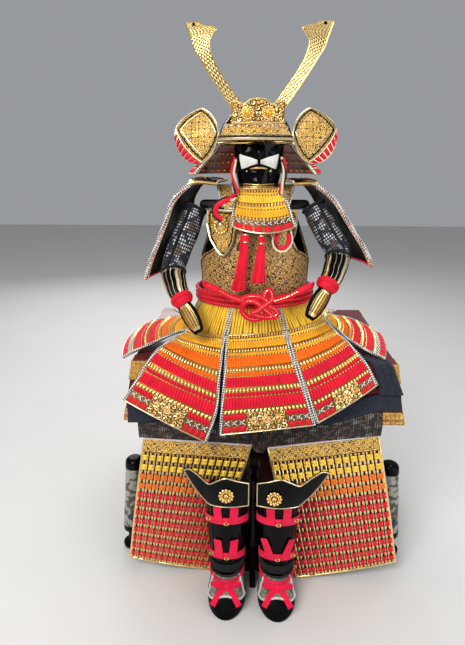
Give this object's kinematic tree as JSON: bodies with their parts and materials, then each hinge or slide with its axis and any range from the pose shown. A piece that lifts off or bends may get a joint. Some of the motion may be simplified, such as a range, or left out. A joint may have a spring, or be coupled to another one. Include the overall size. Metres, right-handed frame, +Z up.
{
  "type": "miniature samurai armour on its armour chest and stands",
  "caption": "Display suit of laced samurai armour, seated with helmet and mask on a lacquered storage chest, with thigh apron, shin guards and shoes on a leg stand in front.",
  "frame": {"origin": "on the floor under the armour, halfway between the chest's front and back, on the chest's underside", "axes": "+Z up, +X to the viewer's right as the armour faces the viewer, the armour faces -Y"},
  "size_m": [0.313, 0.2957, 0.5375],
  "materials": {
    "maroon_lacquer": "deep maroon lacquer, glossy",
    "stand_wood": "black lacquered wood",
    "black_lacquer": "black lacquer over metal, high gloss",
    "gilt": "gilt metal, satin",
    "gold_leather": "gold leather with a small dark print",
    "lacing": "silk lacing in red, orange and yellow over gilt scales",
    "yellow_lacing": "yellow silk lacing",
    "red_silk": "glossy red silk cord",
    "brocade": "metallic brocade",
    "dark_cloth": "dark patterned cloth",
    "navy_cotton": "matt navy cotton"
  },
  "bodies": {
    "root": {"chest_body": "maroon_lacquer", "chest_lid": "maroon_lacquer", "stand": "stand_wood", "leg_stand": "stand_wood", "helmet_bowl": "black_lacquer", "mask": "black_lacquer", "shin_guard_left": "black_lacquer", "shin_guard_right": "black_lacquer", "knee_plate_left": "black_lacquer", "knee_plate_right": "black_lacquer", "lid_corner_front_left": "gilt", "lid_corner_front_right": "gilt", "lid_corner_rear_left": "gilt", "lid_corner_rear_right": "gilt", "crest_base": "gilt", "crest_horn_left": "gilt", "crest_horn_right": "gilt", "hand_plate_left": "gilt", "hand_plate_right": "gilt", "helmet_visor": "gold_leather", "helmet_ear_left": "gold_leather", "helmet_ear_right": "gold_leather", "cuirass_front": "gold_leather", "cuirass_back": "gold_leather", "shoulder_strap_left": "gold_leather", "shoulder_strap_right": "gold_leather", "chest_plate_left": "gold_leather", "chest_plate_right": "gold_leather", "neck_guard": "lacing", "shoulder_guard_left": "lacing", "shoulder_guard_right": "lacing", "skirt_front": "lacing", "skirt_front_left": "lacing", "skirt_front_right": "lacing", "skirt_side_left": "lacing", "skirt_side_right": "lacing", "skirt_rear_left": "lacing", "skirt_rear_right": "lacing", "thigh_guard_left": "lacing", "thigh_guard_right": "lacing", "throat_guard": "yellow_lacing", "waist_lacing": "yellow_lacing", "belt": "red_silk", "belt_knot": "red_silk", "belt_end_left": "red_silk", "belt_end_right": "red_silk", "tassel_left": "red_silk", "tassel_right": "red_silk", "sleeve_left": "brocade", "sleeve_right": "brocade", "shoe_left": "brocade", "shoe_right": "brocade", "thigh_roll_left": "brocade", "thigh_roll_right": "brocade", "apron_cloth": "dark_cloth", "apron_tape": "navy_cotton", "apron_tape_loop": "navy_cotton"}
  },
  "joints": []
}
